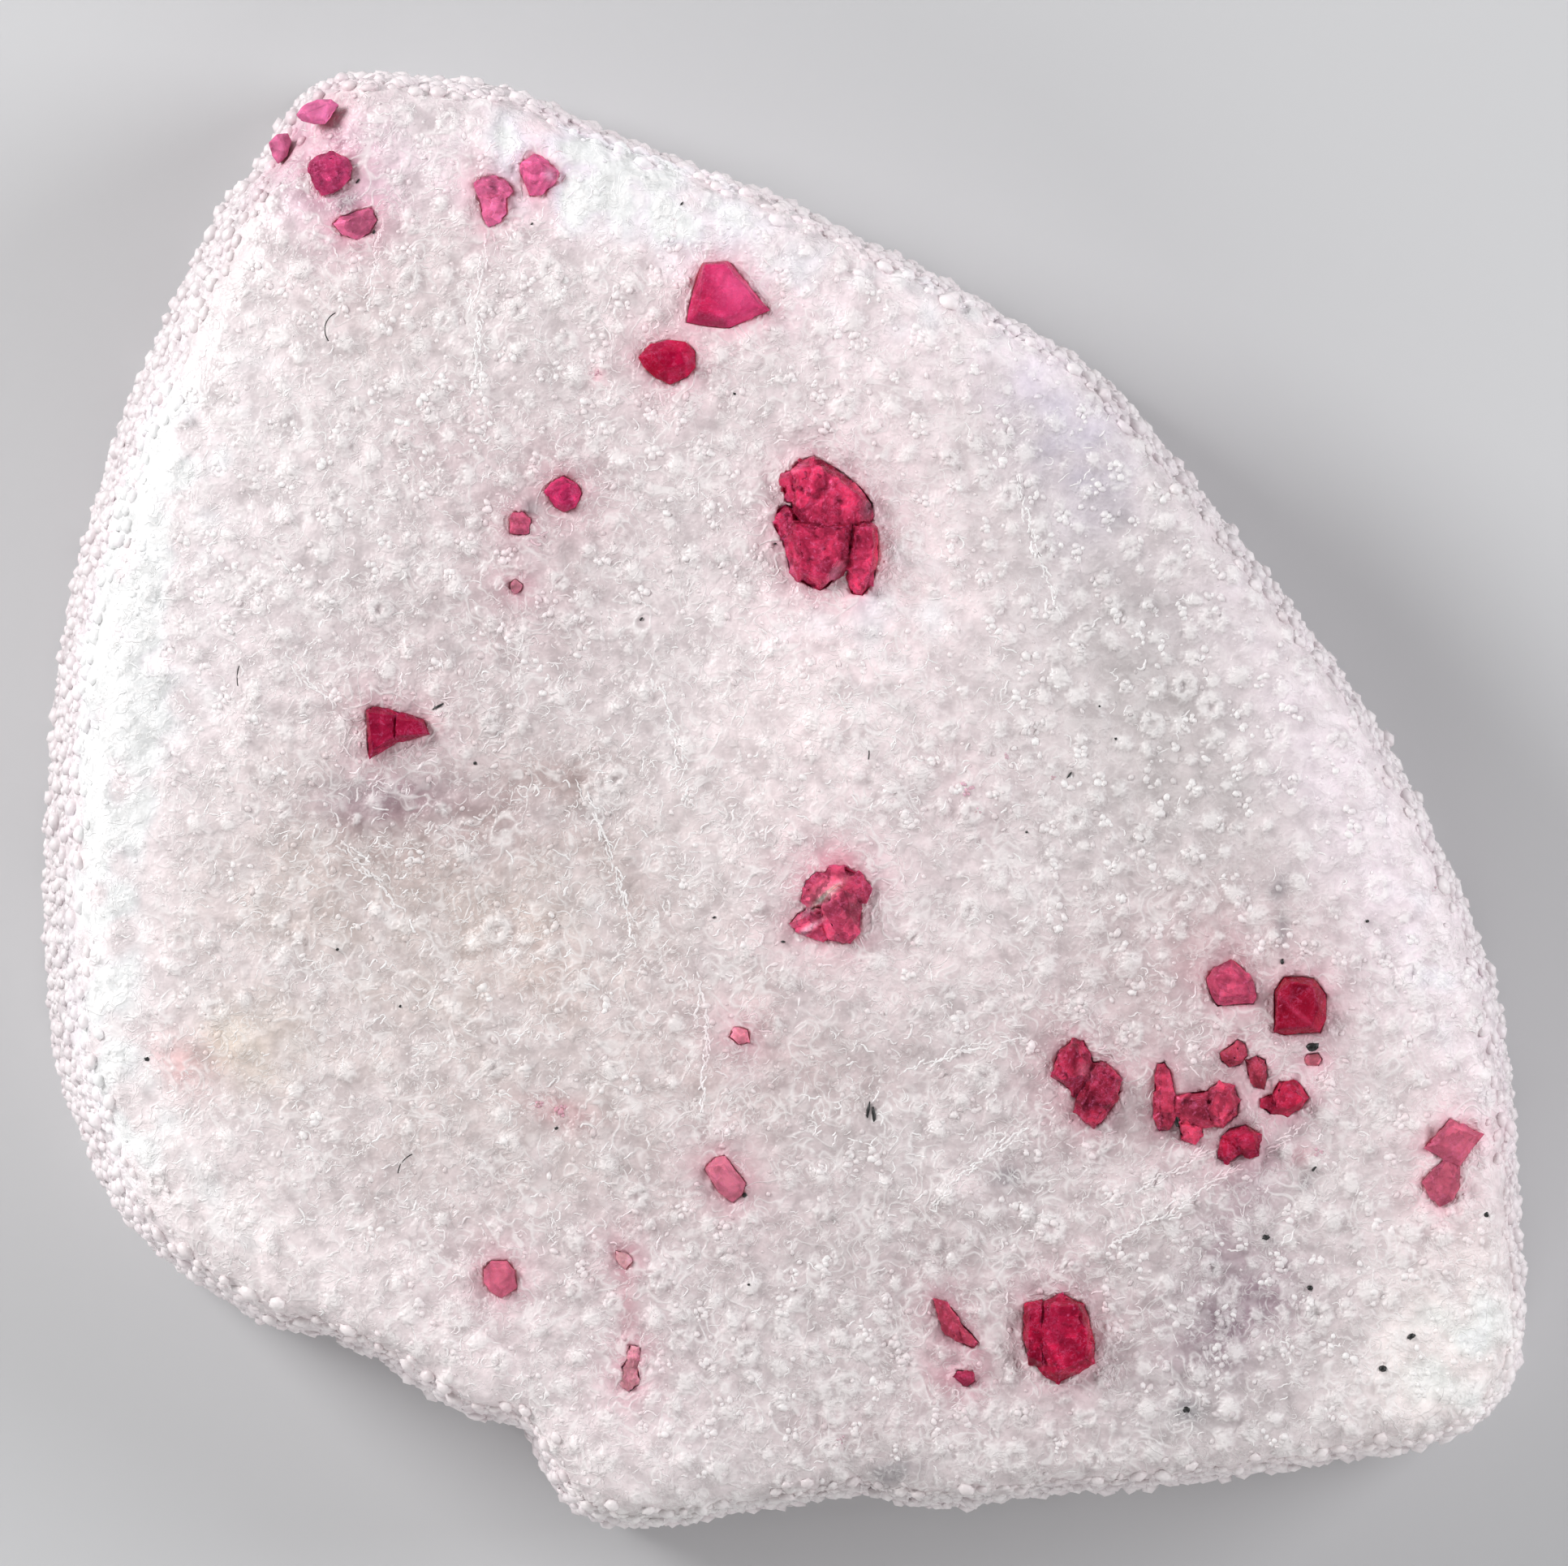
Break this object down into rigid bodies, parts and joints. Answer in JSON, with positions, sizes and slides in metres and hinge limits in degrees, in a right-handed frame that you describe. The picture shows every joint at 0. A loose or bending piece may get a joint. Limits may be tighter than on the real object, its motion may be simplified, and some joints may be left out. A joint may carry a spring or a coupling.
{
  "type": "spinel in marble",
  "caption": "Raspberry-red spinel crystals standing in the face of a slab of sugary white marble, lying flat on its sawn back.",
  "frame": {"origin": "on the flat back of the slab, under the middle of its outline", "axes": "+Z out of the face that holds the crystals, +Y towards the slab's narrow end, +X to the right when seen from the crystals' side"},
  "size_m": [0.0741, 0.0726, 0.0165],
  "materials": {
    "marble": "rough",
    "spinel": "gloss"
  },
  "bodies": {
    "root": {"marble": "marble", "spinel_crystal_01": "spinel", "spinel_crystal_02": "spinel", "spinel_crystal_03": "spinel", "spinel_crystal_04": "spinel", "spinel_crystal_05": "spinel", "spinel_crystal_06": "spinel", "spinel_crystal_07": "spinel", "spinel_crystal_08": "spinel", "spinel_crystal_09": "spinel", "spinel_crystal_10": "spinel", "spinel_crystal_11": "spinel", "spinel_crystal_12": "spinel", "spinel_crystal_13": "spinel", "spinel_crystal_14": "spinel", "spinel_crystal_15": "spinel", "spinel_crystal_16": "spinel", "spinel_crystal_17": "spinel", "spinel_crystal_18": "spinel", "spinel_crystal_19": "spinel", "spinel_crystal_20": "spinel", "spinel_crystal_21": "spinel", "spinel_crystal_22": "spinel", "spinel_crystal_23": "spinel", "spinel_crystal_24": "spinel", "spinel_crystal_25": "spinel", "spinel_crystal_26": "spinel", "spinel_crystal_27": "spinel", "spinel_crystal_28": "spinel", "spinel_crystal_29": "spinel", "spinel_crystal_30": "spinel", "spinel_crystal_31": "spinel"}
  },
  "joints": []
}
